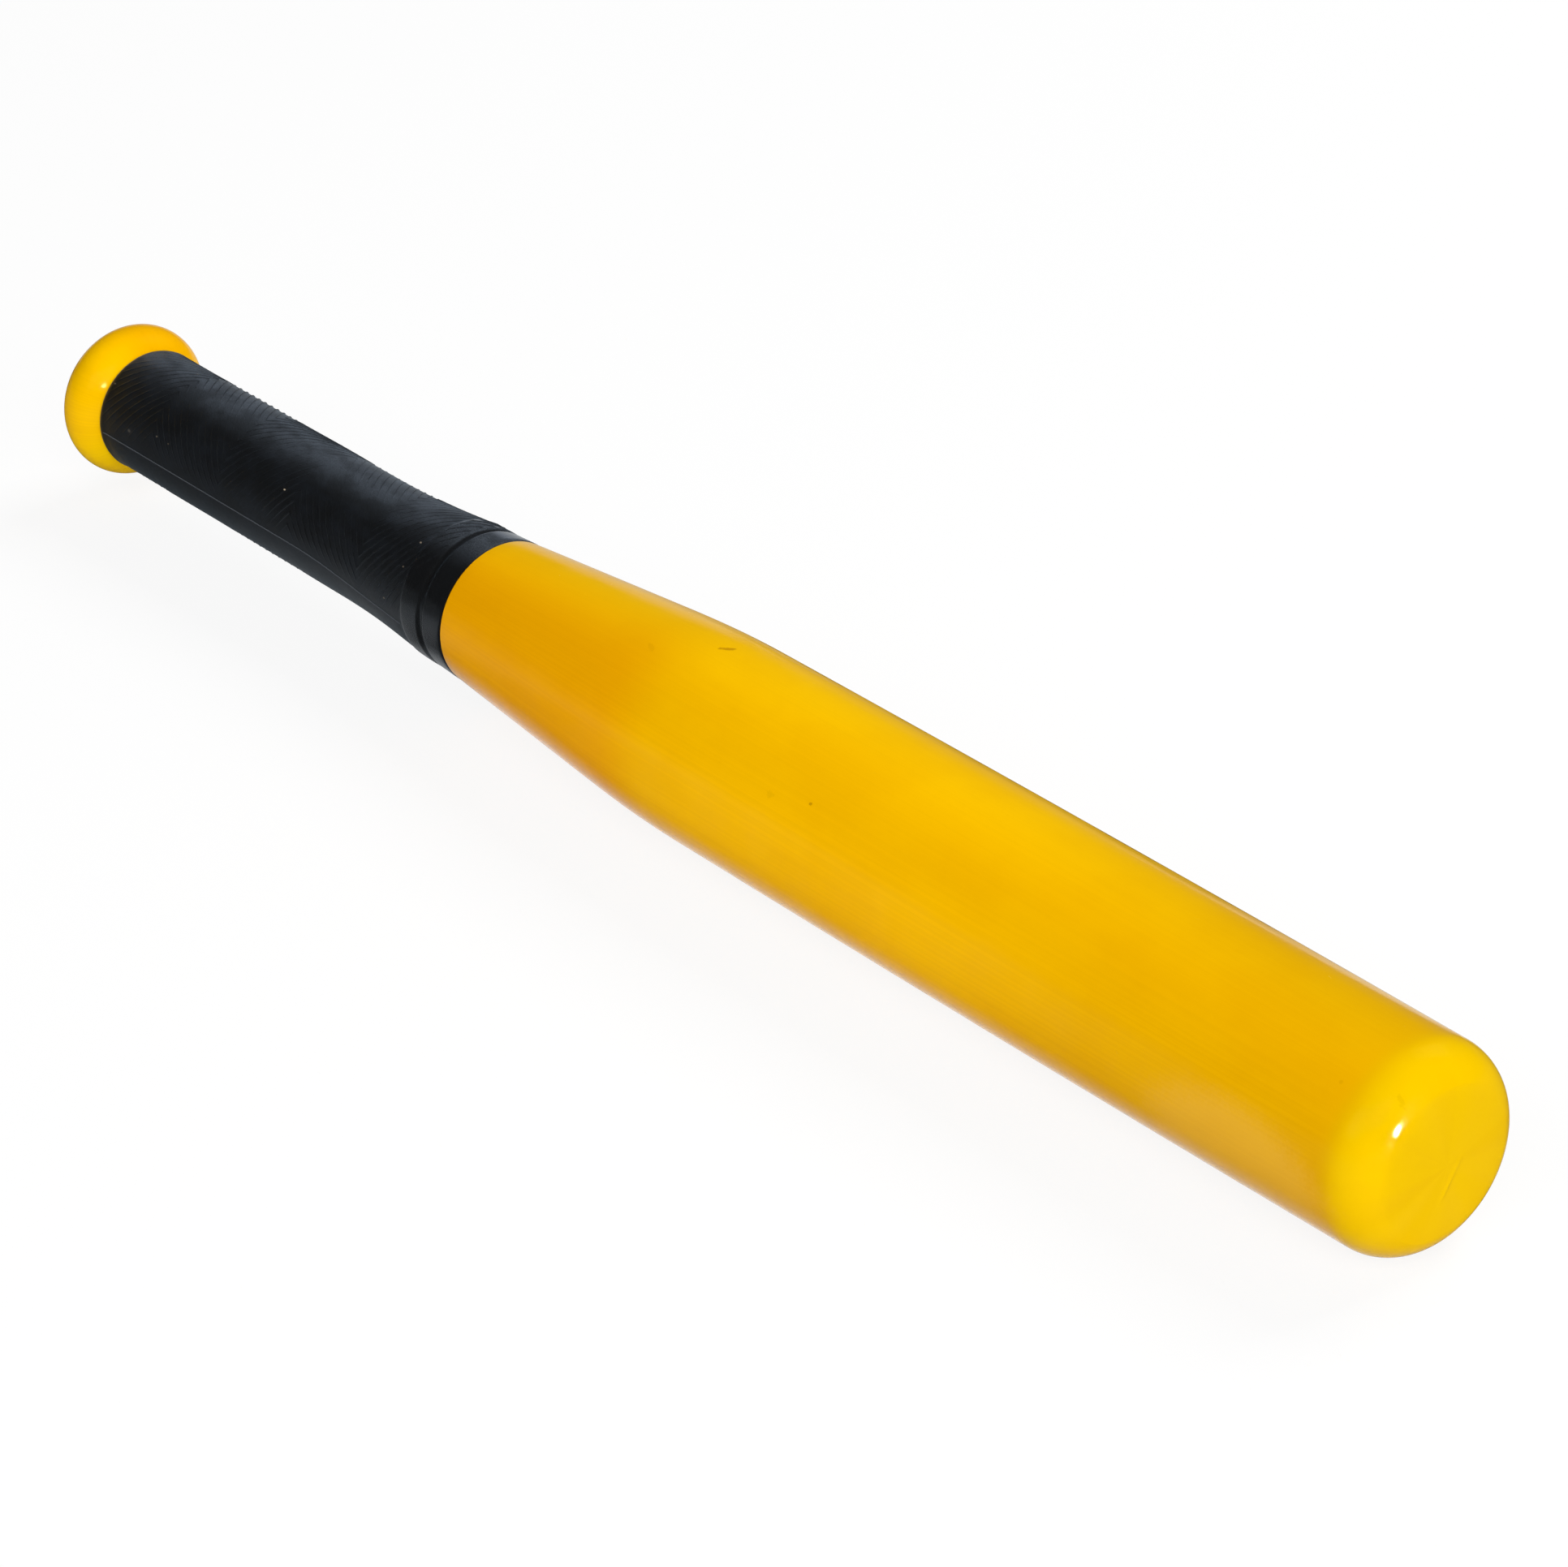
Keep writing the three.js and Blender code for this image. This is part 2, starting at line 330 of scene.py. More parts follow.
def body_piece():
    """The moulded body. Its outline is turned about the axis, with columns that crowd together
    at the mould's seam. Seam and pinch-off line have the height of a Gaussian of the distance
    from their planes."""
    inside = cavity_outline()
    outline = joined(inside, knob_outline(), shoulder_outline(), bend(), barrel_outline(), barrel_end())
    even = np.linspace(0, TAU, 240, endpoint=False)
    angle = even - SEAM_CROWDING * np.sin(2 * (even - SEAM_ANGLE))
    station, radius = outline[:, :1], outline[:, 1:]
    off_plane = radius * np.sin(angle - SEAM_ANGLE)
    down = -radius * np.cos(angle - SEAM_ANGLE)
    outside = (np.arange(len(outline)) > len(inside))[:, None]
    on_face = outside & (station > LENGTH - FACE_DEPTH)
    reach = between(down, PINCH_TOP, PINCH_TOP + PINCH_FADE, PINCH_BOTTOM - PINCH_FADE, PINCH_BOTTOM)
    pinch = on_face * reach * PINCH_HEIGHT * ridge(off_plane + PINCH_OFFSET, PINCH_HALF_WIDTH)
    on_side = outside * between(station, SHOULDER + 4, SHOULDER + 12, TIP_START, TIP_START + 7)
    seam = on_side * SEAM_HEIGHT * ridge(off_plane, SEAM_HALF_WIDTH)
    return skin("bat_shell", station + pinch, radius + seam, angle[None, :], poles=True)


# Rubber sleeve. Its ribs run in a zigzag, as on a herringbone cloth, up to the smooth band that
# lies before the groove and the collar.
RIBS = 32
RIB_HEIGHT = 0.24
RIB_LEAN = math.radians(50)
RIB_HALF_WIDTH = 0.155
RIB_PHASE = math.radians(32.6)
RIB_FLOOR = 0.2
ZIGZAG_PEAK = 93.4
ZIGZAG_LENGTH = 56.4
BAND_START = 141
BAND_END = 147
BAND_STEP = 0.04
BAND_STEP_HALF_WIDTH = 0.22
BAND_RIBS_REACH = math.radians(40)
BAND_RIBS_MIDDLE = math.radians(8)
GROOVE_END = 149.4
GROOVE_FLANK = 0.7
GROOVE_DEPTH = 0.6
FLASH_ANGLE = math.radians(95)
FLASH_SHIFT = math.radians(8)
FLASH_HEIGHT = 0.16
FLASH_HALF_WIDTH = 0.13
FLASH_MARK = -1
RING_SPACING = 1.1

# The sleeve's rounded rims, as rows of (distance forward, rise). The rear one starts from the
# rear end at REAR_RADIUS, and the front one from the front end at the collar's radius.
REAR_RADIUS = SLEEVE_RADIUS - 0.25
REAR_RIM = np.array([(0, 0), (0.3, 0.1), (0.9, 0.25)])
FRONT_RIM = np.array([(-0.6, 0), (-0.35, -0.04), (-0.15, -0.15), (-0.04, -0.33)])

# Columns within each rib's share of the round: close together on the rib, and wide beside it.
RIB_COLUMNS = np.array([0, 0.04, 0.08, 0.12, 0.16, 0.3, 0.5, 0.7, 0.84, 0.88, 0.92, 0.96])


def flash_angle(station):
    """Where the sleeve's mould closed: nearly straight along the grip, a little lower in front."""
    return FLASH_ANGLE + FLASH_SHIFT * smooth(station, 96, 130)


def sleeve_rear(radius):
    """Station of the sleeve's rear end at a radius, where it lies against the knob's front."""
    rise = (radius - BUTT_FLAT_RADIUS) / (KNOB_RIM + CLEARANCE)
    return KNOB_BACK + (KNOB_FRONT + CLEARANCE) * math.sqrt(1 - rise * rise)


def sleeve_base(station):
    """Radius of the sleeve without its ribs: the grip between them, the flare, the band with its
    small step, the groove and the collar with its rounded edge."""
    rear = sleeve_rear(REAR_RADIUS)
    known = np.concatenate([
        REAR_RIM + (rear, REAR_RADIUS),
        flare(0, 60),
        [(GROOVE_END, FLARE_TOP_RADIUS)],
        FRONT_RIM + (SLEEVE_FRONT, COLLAR_RADIUS),
    ])
    radius = np.interp(station, known[:, 0], known[:, 1])
    ribbed = between(station, rear + 0.9, rear + 1.8, BAND_START - 0.5, BAND_START)
    groove = between(station, BAND_END, BAND_END + GROOVE_FLANK, GROOVE_END - GROOVE_FLANK, GROOVE_END)
    step = ridge(station - BAND_START, BAND_STEP_HALF_WIDTH)
    return radius - RIB_FLOOR * ribbed - GROOVE_DEPTH * groove - BAND_STEP * step


def flash_line(side):
    """A fine raised line where the mould closed: a thread with an elliptical section, half sunk
    in the rubber, that tapers out at both ends. Side is 0 for one and pi for the other."""
    station = np.linspace(sleeve_rear(SLEEVE_RADIUS) + 0.6, BAND_START - 0.6, 110)[:, None]
    turn = np.linspace(0, TAU, 8, endpoint=False)[None, :]
    taper = between(station, station[0], station[0] + 1, station[-1] - 1, station[-1]) + 0.02
    base = sleeve_base(station)
    radius = base + FLASH_HEIGHT * taper * np.cos(turn)
    angle = flash_angle(station) + side + FLASH_HALF_WIDTH * taper * np.sin(turn) / base
    mesh = skin("flash_line", station, radius, angle, poles=True)
    rib_values(mesh, np.full(len(mesh.vertices), FLASH_MARK))
    return mesh


def rib_strength(station, angle):
    """How clearly a rib stands out: clear on the grip, worn off beside the flash lines, the most
    below them, and where the hand holds them: on the falling legs of the zigzag, and near the
    knob. Long slow waves vary them a little. In the band there are ribs on the upper side only."""
    from_flash = angle - flash_angle(station)
    above = np.clip(np.degrees(-np.arcsin(np.sin(from_flash))), 0, 90)
    below = np.clip(np.degrees(np.arcsin(np.sin(from_flash))), 0, 90)
    kept = smooth(above, 5, 24) + smooth(below, 30, 60)
    rear = sleeve_rear(SLEEVE_RADIUS)
    on_grip = between(station, rear + 1.2, rear + 2, BAND_START - 0.7, BAND_START - 0.3)
    in_band = between(station, BAND_START + 0.4, BAND_START + 0.8, BAND_END - 0.6, BAND_END - 0.2)
    from_top = np.abs((angle - BAND_RIBS_MIDDLE + np.pi) % TAU - np.pi)
    waves = np.sin(station / 8.5 + 2.2 * np.sin(angle)) * np.cos(1.7 * np.sin(angle + 1) + station / 17)
    falling = (station - ZIGZAG_PEAK) % ZIGZAG_LENGTH < ZIGZAG_LENGTH / 2
    across = np.degrees(from_flash) % 180 - 90
    held = between(across, -14, 4, 34, 50)
    wear = np.clip(0.72 + 0.45 * waves, 0.2, 1) * (1 - 0.85 * falling * held)
    near_knob = station < ZIGZAG_PEAK - ZIGZAG_LENGTH
    wear = wear * (1 - 0.6 * near_knob * smooth(across, 18, 36))
    return on_grip * kept * wear + in_band * (from_top < BAND_RIBS_REACH)


def sleeve_skin():
    """The ribbed sleeve. Its columns lean with the ribs: angle = column + tan(lean) * d / radius,
    where d is the distance from the nearest peak of the zigzag. A rib is a raised cosine across
    the columns. The rings go on round the front edge and back along the bore."""
    rear = sleeve_rear(REAR_RADIUS)
    rows = np.r_[
        rear + REAR_RIM[:, 0],
        np.arange(math.ceil(rear + 1), BAND_START - 0.6, RING_SPACING),
        ZIGZAG_PEAK + ZIGZAG_LENGTH * np.array([-1.5, -1, -0.5, 0, 0.5]),
        BAND_START - 0.3, BAND_START - 0.1, BAND_START + 0.1, BAND_START + 0.3,
        np.linspace(BAND_START + 0.9, BAND_END - 1.2, 5),
        BAND_END - 0.9, BAND_END - 0.6, BAND_END - 0.3, BAND_END,
        BAND_END + 0.35, BAND_END + 0.7, GROOVE_END - 0.7, GROOVE_END - 0.35, GROOVE_END,
        GROOVE_END + 0.3, np.linspace(GROOVE_END + 1.2, SLEEVE_FRONT + FRONT_RIM[0, 0], 5),
        SLEEVE_FRONT + FRONT_RIM[1:, 0],
    ]
    rows = np.unique(np.round(rows[rows >= rear], 3))[:, None]
    base = sleeve_base(rows)

    column = (np.arange(RIBS)[:, None] + RIB_COLUMNS).reshape(1, -1)
    off_rib = np.abs((column + 0.5) % 1 - 0.5)
    across = 0.5 + 0.5 * np.cos(np.pi * np.clip(off_rib / RIB_HALF_WIDTH, 0, 1))

    held = np.minimum(rows, BAND_END)
    from_peak = np.abs((held - ZIGZAG_PEAK + ZIGZAG_LENGTH / 2) % ZIGZAG_LENGTH - ZIGZAG_LENGTH / 2)
    lean = math.tan(RIB_LEAN) * from_peak / FLARE_FOOT_RADIUS
    angle = RIB_PHASE + column * TAU / RIBS + lean
    height = rib_strength(rows, angle) * across

    bore_radius = SLEEVE_RADIUS - SLEEVE_WALL
    inner_rim = REAR_RADIUS - 0.2
    bore = joined(
        line((SLEEVE_FRONT, COLLAR_RADIUS - 0.4), (SLEEVE_FRONT, COLLAR_RADIUS - SLEEVE_WALL), 3),
        flare(SLEEVE_WALL, 8)[::-1],
        line((FLARE_START - 20, bore_radius), (40, bore_radius), 2),
        line((sleeve_rear(bore_radius), bore_radius), (sleeve_rear(inner_rim), inner_rim), 3),
    )
    share = np.clip((SLEEVE_FRONT - bore[:, :1]) / (SLEEVE_FRONT - rear), 0, 1)
    inner_angle = angle[-1:] + share * (angle[:1] - angle[-1:])
    spread = np.ones_like(column)
    station = np.concatenate([rows * spread, bore[:, :1] * spread])
    radius = np.concatenate([base + RIB_HEIGHT * height, bore[:, 1:] * spread])
    mesh = skin("sleeve_skin", station, radius, np.concatenate([angle, inner_angle]), poles=False)
    rib_values(mesh, np.concatenate([height.ravel(), np.zeros(inner_angle.size)]))
    return mesh


def sleeve_piece():
    """The sleeve with its two flash lines."""
    return merged("ribbed_sleeve", [sleeve_skin(), flash_line(0), flash_line(math.pi)])


# Butt plug.
def plug_piece():
    """The plug: a flat head with a softened rim and a small gate mark, and a hollow shank with
    its snap ring, turned about the axis."""
    head, shank, ring = PLUG_RADIUS, BLOW_HOLE_RADIUS - CLEARANCE, KNOB_WALL + CLEARANCE
    thickness, edge = RECESS_DEPTH - CLEARANCE, PLUG_EDGE
    hollow = shank - PLUG_WALL
    outline = joined(
        line((0.1, 0.3), (0.1, 0.9), 3),
        line((0.06, 1.05), (0, 1.3), 2),
        line((0, 1.6), (0, head - edge), 6),
        arc((edge, head - edge), edge, edge, -math.pi / 2, 0, 6),
        line((thickness, head), (thickness, shank), 3),
        line((ring, shank), (ring + CLEARANCE, shank + SNAP_RING_HEIGHT)),
        line((ring + SNAP_RING_LENGTH, shank), (PLUG_LENGTH, shank - CLEARANCE)),
        line((PLUG_LENGTH, hollow), (RECESS_DEPTH, hollow)),
        line((RECESS_DEPTH, hollow - 0.5), (RECESS_DEPTH, 0.3), 4),
    )
    angle = np.linspace(0, TAU, 96, endpoint=False)
    return skin("plug_cap", outline[:, :1], outline[:, 1:], angle[None, :], poles=True)


# Shader nodes.
def connect(tree, value, socket):
    """Links a socket to another's output, or sets it to a constant."""
    if isinstance(value, bpy.types.NodeSocket):
        tree.links.new(value, socket)
    else:
        socket.default_value = value


def add(tree, kind, inputs=None, **settings):
    """Adds a node with settings, and sets or links the inputs that are named."""
    made = tree.nodes.new(kind)
    for name, value in settings.items():
        setattr(made, name, value)
    for name, value in (inputs or {}).items():
        connect(tree, value, made.inputs[name])
    return made


def calc(tree, operation, *values):
    """One sum on numbers."""
    made = tree.nodes.new("ShaderNodeMath")
    made.operation = operation
    for socket, value in zip(made.inputs, values):
        connect(tree, value, socket)
    return made.outputs[0]


def times(tree, first, *others):
    """The product of some numbers."""
    for other in others:
        first = calc(tree, "MULTIPLY", first, other)
    return first


def plus(tree, first, second):
    """The sum of two numbers."""
    return calc(tree, "ADD", first, second)


def minus(tree, first, second):
    """The first number less the second."""
    return calc(tree, "SUBTRACT", first, second)


def vector(tree, operation, first, second):
    """One sum on vectors. To scale one, the second value is a number."""
    socket = "Scale" if operation == "SCALE" else 1
    return add(tree, "ShaderNodeVectorMath", {0: first, socket: second}, operation=operation).outputs[0]


def climb(tree, value, low, high, start=0.0, stop=1.0):
    """A value that goes smoothly from start, where the input is low, to stop, where it is high."""
    limits = {"Value": value, "From Min": low, "From Max": high, "To Min": start, "To Max": stop}
    return add(tree, "ShaderNodeMapRange", limits, interpolation_type="SMOOTHSTEP").outputs["Result"]


def climb_degrees(tree, angle, low, high, start=0.0, stop=1.0):
    """The same for an angle, with its limits in degrees."""
    return climb(tree, angle, math.radians(low), math.radians(high), start, stop)


def noise(tree, place, scale, detail=2.0, stretch=None):
    """Noise with features about 1 / scale mm in size, drawn out along the bat by stretch."""
    if stretch:
        place = vector(tree, "MULTIPLY", place, (1 / stretch, 1, 1))
    inputs = {"Vector": place, "Scale": scale, "Detail": detail, "Roughness": 0.55}
    return add(tree, "ShaderNodeTexNoise", inputs).outputs["Fac"]


# Places of the colour sockets among those of a Mix node.
MIX_SHARE, MIX_FIRST, MIX_SECOND, MIX_RESULT = 0, 6, 7, 2


def mixed(tree, share, first, second, kind="MIX"):
    """Two colours mixed by a share."""
    made = tree.nodes.new("ShaderNodeMix")
    made.data_type, made.blend_type = "RGBA", kind
    connect(tree, share, made.inputs[MIX_SHARE])
    connect(tree, first, made.inputs[MIX_FIRST])
    connect(tree, second, made.inputs[MIX_SECOND])
    return made.outputs[MIX_RESULT]


def shaded(tree, colour, shade, *shares):
    """Colour multiplied by a shade, as far as the product of the shares says."""
    return mixed(tree, times(tree, *shares), colour, shade, "MULTIPLY")


def new_group(name, inputs, **outputs):
    """An empty node group: inputs are names with their numbers, outputs are names with kinds."""
    group = bpy.data.node_groups.new(name, "ShaderNodeTree")
    for key, value in inputs.items():
        socket = group.interface.new_socket(name=key, in_out="INPUT", socket_type="NodeSocketFloat")
        socket.default_value = value
    for key, kind in outputs.items():
        group.interface.new_socket(name=key, in_out="OUTPUT", socket_type="NodeSocket" + kind)
    given = group.nodes.new("NodeGroupInput").outputs
    result = group.nodes.new("NodeGroupOutput").inputs
    return group, given, result


def use(tree, group, **inputs):
    """Places a group in a material, with its inputs by name."""
    made = add(tree, "ShaderNodeGroup", node_tree=group)
    for name, value in inputs.items():
        connect(tree, value, made.inputs[name])
    return made.outputs


# Effects that several materials share.
def round_the_bat():
    """Where a point is on the bat: its station in mm, its angle, and its place on a drum of the
    barrel's radius, so that patterns run along the cone and over the knob as along the barrel."""
    group, _, result = new_group("round_the_bat", {}, Station="Float", Angle="Float", Drum="Vector")
    place = add(group, "ShaderNodeTexCoord").outputs["Object"]
    place = vector(group, "SUBTRACT", place, (BUTT_X, AXIS_Y, AXIS_Z))
    x, y, z = add(group, "ShaderNodeSeparateXYZ", {0: place}).outputs
    outward = add(group, "ShaderNodeCombineXYZ", {"Y": y, "Z": z}).outputs[0]
    outward = add(group, "ShaderNodeVectorMath", {0: outward}, operation="NORMALIZE").outputs[0]
    outward = vector(group, "SCALE", outward, BARREL_RADIUS)
    station = calc(group, "DIVIDE", x, MM)
    along = add(group, "ShaderNodeCombineXYZ", {"X": station}).outputs[0]
    connect(group, station, result["Station"])
    connect(group, calc(group, "ARCTAN2", times(group, y, -1.0), z), result["Angle"])
    connect(group, vector(group, "ADD", outward, along), result["Drum"])
    return group


def flat_place():
    """A point's place in plain millimetres, for patterns that ignore the bat's roundness."""
    group, _, result = new_group("flat_place", {}, Place="Vector")
    place = add(group, "ShaderNodeTexCoord").outputs["Object"]
    connect(group, vector(group, "SCALE", place, 1 / MM), result["Place"])
    return group


def soft_waviness():
    """Height in mm of the slow unevenness of a moulded skin, longer along the bat than round it."""
    group, given, result = new_group("soft_waviness", {"Height": 0.02, "Stretch": 3.0}, Height="Float")
    narrowed = calc(group, "DIVIDE", 1.0, given["Stretch"])
    squeeze = add(group, "ShaderNodeCombineXYZ", {"X": narrowed, "Y": 1, "Z": 1}).outputs[0]
    place = vector(group, "MULTIPLY", use(group, FLAT)["Place"], squeeze)
    slow = noise(group, place, 0.16, 1.0)
    quick = noise(group, place, 0.7, 1.0)
    height = calc(group, "MULTIPLY_ADD", quick, 0.3, slow)
    connect(group, times(group, height, given["Height"]), result["Height"])
    return group


def fine_grain():
    """Height in mm, and tone, of a fine even grain with a given size in mm."""
    inputs = {"Size": 0.3, "Height": 0.01}
    group, given, result = new_group("fine_grain", inputs, Height="Float", Tone="Float")
    tone = noise(group, use(group, FLAT)["Place"], calc(group, "DIVIDE", 1.0, given["Size"]), 3.0)
    connect(group, times(group, tone, given["Height"]), result["Height"])
    connect(group, tone, result["Tone"])
    return group


def fine_scratches():
    """Mask of fine hair scratches: the contour lines of a stretched noise, broken into pieces."""
    group, given, result = new_group("fine_scratches", {"Share": 0.4}, Mask="Float")
    place = use(group, AROUND)["Drum"]
    field = noise(group, place, 0.11, 3.0, stretch=2.5)
    off_contour = calc(group, "ABSOLUTE", minus(group, field, 0.5))
    hair = climb(group, off_contour, 0.0008, 0.0025, 1.0, 0.0)
    broken = noise(group, place, 0.35, 2.0)
    gate = climb(group, broken, minus(group, 0.75, times(group, given["Share"], 0.4)), 0.72)
    connect(group, times(group, hair, gate), result["Mask"])
    return group


def scattered_specks():
    """Mask of small specks: one in some of the cells of a random mosaic. Spacing and Size are
    in mm, and Share says how many cells hold a speck."""
    inputs = {"Spacing": 6.0, "Size": 0.2, "Share": 0.3}
    group, given, result = new_group("scattered_specks", inputs, Mask="Float")
    scale = calc(group, "DIVIDE", 1.0, given["Spacing"])
    cells = add(group, "ShaderNodeTexVoronoi", {"Vector": use(group, AROUND)["Drum"], "Scale": scale})
    luck, spread, _ = add(group, "ShaderNodeSeparateColor", {0: cells.outputs["Color"]}).outputs
    size = calc(group, "DIVIDE", given["Size"], given["Spacing"])
    size = times(group, size, climb(group, spread, 0.0, 1.0, 0.5, 1.2))
    inside = climb(group, cells.outputs["Distance"], times(group, size, 0.6), size, 1.0, 0.0)
    chosen = calc(group, "LESS_THAN", luck, given["Share"])
    connect(group, times(group, inside, chosen), result["Mask"])
    return group


def one_mark():
    """Mask of one mark with ragged edges: an ellipse round a station (mm) and an angle (degrees),
    with its Length and Width in mm, turned by Turn degrees from the bat's length."""
    inputs = {"Station": 0.0, "Angle": 0.0, "Length": 3.0, "Width": 1.0, "Turn": 0.0, "Ragged": 0.5}
    group, given, result = new_group("one_mark", inputs, Mask="Float")
    around = use(group, AROUND)
    along = minus(group, around["Station"], given["Station"])
    aside = minus(group, around["Angle"], calc(group, "RADIANS", given["Angle"]))
    aside = times(group, aside, BARREL_RADIUS * 0.85)
    turn = calc(group, "RADIANS", given["Turn"])
    cosine, sine = calc(group, "COSINE", turn), calc(group, "SINE", turn)
    length = plus(group, times(group, along, cosine), times(group, aside, sine))
    width = minus(group, times(group, aside, cosine), times(group, along, sine))
    length = calc(group, "DIVIDE", length, given["Length"])
    width = calc(group, "DIVIDE", width, given["Width"])
    reach = calc(group, "SQRT", plus(group, times(group, length, length), times(group, width, width)))
    rag = minus(group, noise(group, around["Drum"], 1.1, 4.0), 0.5)
    reach = plus(group, reach, times(group, rag, times(group, given["Ragged"], 2.4)))
    connect(group, climb(group, reach, 0.35, 0.62, 1.0, 0.0), result["Mask"])
    return group


AROUND = round_the_bat()
FLAT = flat_place()
WAVINESS = soft_waviness()
GRAIN = fine_grain()
SCRATCHES = fine_scratches()
SPECKS = scattered_specks()
MARK = one_mark()


def new_material(name):
    """A material with its node tree and the inputs of its surface shader."""
    material = bpy.data.materials.new(name)
    material.use_nodes = True
    return material, material.node_tree, material.node_tree.nodes["Principled BSDF"].inputs


def relief(tree, height):
    """A normal from a height in millimetres."""
    return add(tree, "ShaderNodeBump", {"Height": height, "Distance": MM, "Strength": 1.0}).outputs["Normal"]


# The body's yellows, and the stations between which each stretch fades in or out.
BARREL_YELLOW = (0.92, 0.485, 0.0, 1)
# Painted shade: the cone's yellow is darker and more orange than the barrel's.
CONE_SHADED_YELLOW = (0.87, 0.39, 0.0, 1)
KNOB_YELLOW = (0.95, 0.53, 0.0, 1)
# Painted shade: the yellow is duller towards the closed end.
NEAR_END_SHADED_YELLOW = (0.82, 0.42, 0.0, 1)
# Painted light: the closed end's yellow is more lemon, as it looks in brighter light.
CLOSED_END_PAINTED_LIGHT_YELLOW = (0.72, 0.443, 0.0, 1)
# Painted reflection: a pale, faintly bluish patch low near the end.
PAINTED_REFLECTION_YELLOW = (0.78, 0.43, 0.045, 1)
PALE_YELLOW = (0.98, 0.75, 0.25, 1)
KNOB_FADES_OUT = (20.0, 40.0)
CONE_FADES_IN = (40.0, 60.0)
CONE_FADES_OUT = (218.0, 240.0)
NEAR_END_FADES_IN = (305.0, 446.0)
CLOSED_END_FADES_IN = (446.0, 454.0)

# Gloss of both yellow plastics.
PLASTIC_IOR = 1.25
PLASTIC_SPECULAR_TINT = (1.0, 0.9, 0.45, 1)

# Marks on the body, each with station, angle, length, width, turn and strength.
SCUFFS = [
    (237.8, -1.0, 3.4, 1.3, -38, 0.6),
    (222.9, 22.9, 3.0, 1.1, 20, 0.1),
    (277.6, 59.8, 2.2, 1.4, 0, 0.12),
    (289.5, 53.3, 0.9, 0.7, 0, 0.6),
    (456.7, 30.8, 2.2, 1.2, 40, 0.13),
    (444.8, 40.2, 0.8, 0.7, 0, 0.12),
]


def body_tone_and_painted_light(tree, around):
    """The yellow by its place, with painted light and shade: painted shade makes it more orange on
    the cone, duller towards the end and near the end darker below; painted light and shade make it
    greener on the upper side, and on the knob more orange above and lighter below; the closed
    end's lemon yellow is painted light."""
    station = around["Station"]
    on_knob = climb(tree, station, *KNOB_FADES_OUT, 1.0, 0.0)
    on_cone = climb(tree, station, *CONE_FADES_IN)
    on_cone = times(tree, on_cone, climb(tree, station, *CONE_FADES_OUT, 1.0, 0.0))
    near_end = climb(tree, station, *NEAR_END_FADES_IN)
    from_top = calc(tree, "ABSOLUTE", around["Angle"])
    lower = climb_degrees(tree, from_top, 40, 85)
    under = climb_degrees(tree, from_top, 85, 130)
    from_back = calc(tree, "ABSOLUTE", plus(tree, around["Angle"], math.radians(25)))
    upper = climb_degrees(tree, from_back, 15, 70, 1.0, 0.0)
    # Painted shade: darker and more orange on the cone, duller towards the end.
    colour = mixed(tree, on_cone, BARREL_YELLOW, CONE_SHADED_YELLOW)
    colour = mixed(tree, on_knob, colour, KNOB_YELLOW)
    colour = mixed(tree, near_end, colour, NEAR_END_SHADED_YELLOW)
    # Painted shade below near the end, and painted light and shade on the upper side and on the knob, lighter
    # below it.
    colour = shaded(tree, colour, (0.87, 0.87, 1, 1), near_end, lower)
    colour = shaded(tree, colour, (0.97, 1.05, 1, 1), upper)
    colour = shaded(tree, colour, (1.02, 1.17, 1, 1), upper, on_cone)
    colour = shaded(tree, colour, (0.9, 0.75, 1, 1), upper, on_knob)
    colour = shaded(tree, colour, (0.9, 0.88, 1, 1), upper, near_end)
    colour = shaded(tree, colour, (1.05, 1.16, 1, 1), under, on_knob)
    # Painted light: the closed end's lemon yellow.
    return mixed(tree, climb(tree, station, *CLOSED_END_FADES_IN), colour, CLOSED_END_PAINTED_LIGHT_YELLOW)


def moulding_lines(tree, around):
    """Fine lines along the bat, clearest on its lower half, that stop short of its end."""
    lines = noise(tree, around["Drum"], 1.7, 2.0, stretch=260)
    lower = climb_degrees(tree, calc(tree, "ABSOLUTE", around["Angle"]), 35, 85, 0.3, 1.0)
    clear = times(tree, lower, climb(tree, around["Station"], 440.0, 452.0, 1.0, 0.0))
    return times(tree, minus(tree, lines, 0.5), clear)


